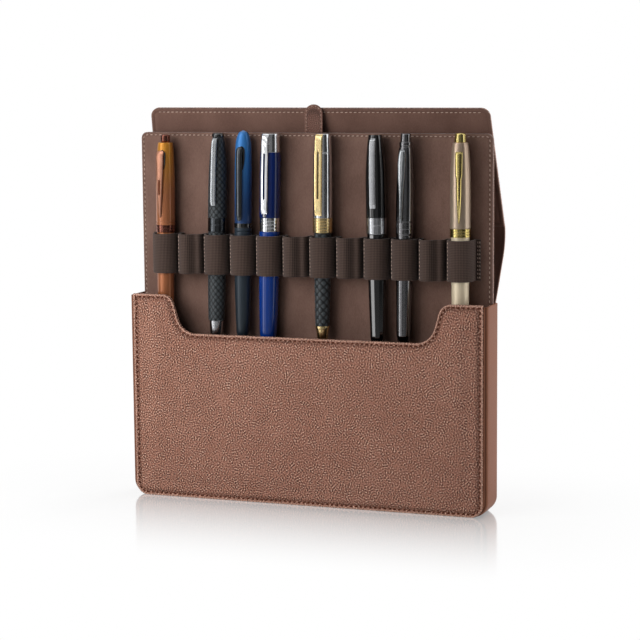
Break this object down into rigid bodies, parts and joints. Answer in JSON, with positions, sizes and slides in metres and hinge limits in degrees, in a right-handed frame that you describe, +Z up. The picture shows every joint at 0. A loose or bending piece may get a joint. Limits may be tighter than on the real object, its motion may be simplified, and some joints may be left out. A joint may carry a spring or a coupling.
{
  "type": "pen case",
  "caption": "Leather pen case: an open box with a notched front, a lift-out board of elastic pen loops with a pull tab, a flap behind it and pens in the loops.",
  "frame": {"origin": "middle of the box's foot, on the surface it stands on", "axes": "+X to the right seen from the front, +Y to the back, +Z up"},
  "size_m": [0.2474, 0.0505, 0.262],
  "materials": {
    "brown_leather": "pebbled, semi-matt",
    "gusset_leather": "smooth, semi-matt",
    "tab_leather": "fine grain, dark brown",
    "suede_lining": "brushed suede, chocolate brown",
    "grey_card": "pressed grey card",
    "brown_elastic": "ribbed woven elastic, near black brown",
    "magnet_steel": "nickel plated",
    "amber_lacquer": "gloss lacquer",
    "copper_metal": "polished copper",
    "carved_black": "carved gloss black",
    "black_metal": "gloss black plated",
    "blue_lacquer": "satin blue fading to dark",
    "royal_lacquer": "gloss royal blue",
    "bright_chrome": "mirror",
    "polished_gold": "polished gold plate",
    "black_lacquer": "gloss black",
    "gun_metal": "dark gun metal",
    "champagne_satin": "satin champagne"
  },
  "bodies": {
    "case": {"front_leather": "brown_leather", "front_card": "grey_card", "front_lining": "suede_lining", "back_leather": "brown_leather", "back_card": "grey_card", "back_lining": "suede_lining", "gusset": "gusset_leather", "base_card": "grey_card", "front_magnets": "magnet_steel"},
    "board": {"insert_suede": "suede_lining", "insert_card": "grey_card", "insert_leather": "brown_leather", "pull_tab_root": "tab_leather", "elastic_loop_01": "brown_elastic", "elastic_loop_02": "brown_elastic", "elastic_loop_03": "brown_elastic", "elastic_loop_04": "brown_elastic", "elastic_loop_05": "brown_elastic", "elastic_loop_06": "brown_elastic", "elastic_loop_07": "brown_elastic", "elastic_loop_08": "brown_elastic", "elastic_loop_09": "brown_elastic", "elastic_loop_10": "brown_elastic", "elastic_loop_11": "brown_elastic", "elastic_loop_12": "brown_elastic"},
    "tab": {"pull_tab": "tab_leather"},
    "flap_root": {"flap_strip": "brown_leather"},
    "flap_end": {"flap_suede": "suede_lining", "flap_card": "grey_card", "flap_leather": "brown_leather", "flap_magnets": "magnet_steel"},
    "copper_pen": {"copper_pen_cap": "amber_lacquer", "copper_pen_barrel": "copper_metal", "copper_pen_clip": "copper_metal"},
    "carved_pen": {"carved_pen_cap": "carved_black", "carved_pen_barrel": "carved_black", "carved_pen_clip": "black_metal"},
    "blue_pen": {"blue_pen_cap": "blue_lacquer", "blue_pen_barrel": "black_metal", "blue_pen_clip": "black_metal"},
    "royal_pen": {"royal_pen_cap": "royal_lacquer", "royal_pen_barrel": "royal_lacquer", "royal_pen_clip": "bright_chrome"},
    "gold_pen": {"gold_pen_cap": "bright_chrome", "gold_pen_barrel": "carved_black", "gold_pen_clip": "polished_gold"},
    "black_pen": {"black_pen_cap": "black_lacquer", "black_pen_barrel": "black_lacquer", "black_pen_clip": "gun_metal"},
    "grey_pen": {"grey_pen_cap": "gun_metal", "grey_pen_barrel": "gun_metal", "grey_pen_clip": "gun_metal"},
    "champagne_pen": {"champagne_pen_cap": "champagne_satin", "champagne_pen_barrel": "champagne_satin", "champagne_pen_clip": "polished_gold"}
  },
  "joints": [
    {"name": "board_lift", "type": "slide", "parent": "case", "child": "board", "axis": [0, 0, 1], "range_m": [-0.1002, 0.045]},
    {"name": "tab_bend", "type": "hinge", "parent": "board", "child": "tab", "pos_m": [0, 0.0094, 0.244], "axis": [-1, 0, 0], "range_deg": [-88, 0]},
    {"name": "flap_open", "type": "hinge", "parent": "case", "child": "flap_root", "pos_m": [0, 0.0155, 0.1356], "axis": [-1, 0, 0], "range_deg": [0, 135]},
    {"name": "flap_fold", "type": "hinge", "parent": "flap_root", "child": "flap_end", "pos_m": [0, 0.03418, 0.18297], "axis": [-1, 0, 0], "range_deg": [0, 30]},
    {"name": "copper_pen_lift", "type": "slide", "parent": "board", "child": "copper_pen", "axis": [0.0157, 0, 0.9999], "range_m": [0, 0.125]},
    {"name": "carved_pen_lift", "type": "slide", "parent": "board", "child": "carved_pen", "axis": [0.0262, 0, 0.9997], "range_m": [0, 0.125]},
    {"name": "blue_pen_lift", "type": "slide", "parent": "board", "child": "blue_pen", "axis": [0.0175, 0, 0.9998], "range_m": [0, 0.125]},
    {"name": "royal_pen_lift", "type": "slide", "parent": "board", "child": "royal_pen", "axis": [0.0244, 0, 0.9997], "range_m": [0, 0.125]},
    {"name": "gold_pen_lift", "type": "slide", "parent": "board", "child": "gold_pen", "axis": [0.0105, 0, 0.9999], "range_m": [0, 0.125]},
    {"name": "black_pen_lift", "type": "slide", "parent": "board", "child": "black_pen", "axis": [-0.0087, 0, 1], "range_m": [0, 0.125]},
    {"name": "grey_pen_lift", "type": "slide", "parent": "board", "child": "grey_pen", "axis": [0.0157, 0, 0.9999], "range_m": [0, 0.125]},
    {"name": "champagne_pen_lift", "type": "slide", "parent": "board", "child": "champagne_pen", "axis": [0, 0, 1], "range_m": [0, 0.125]}
  ]
}
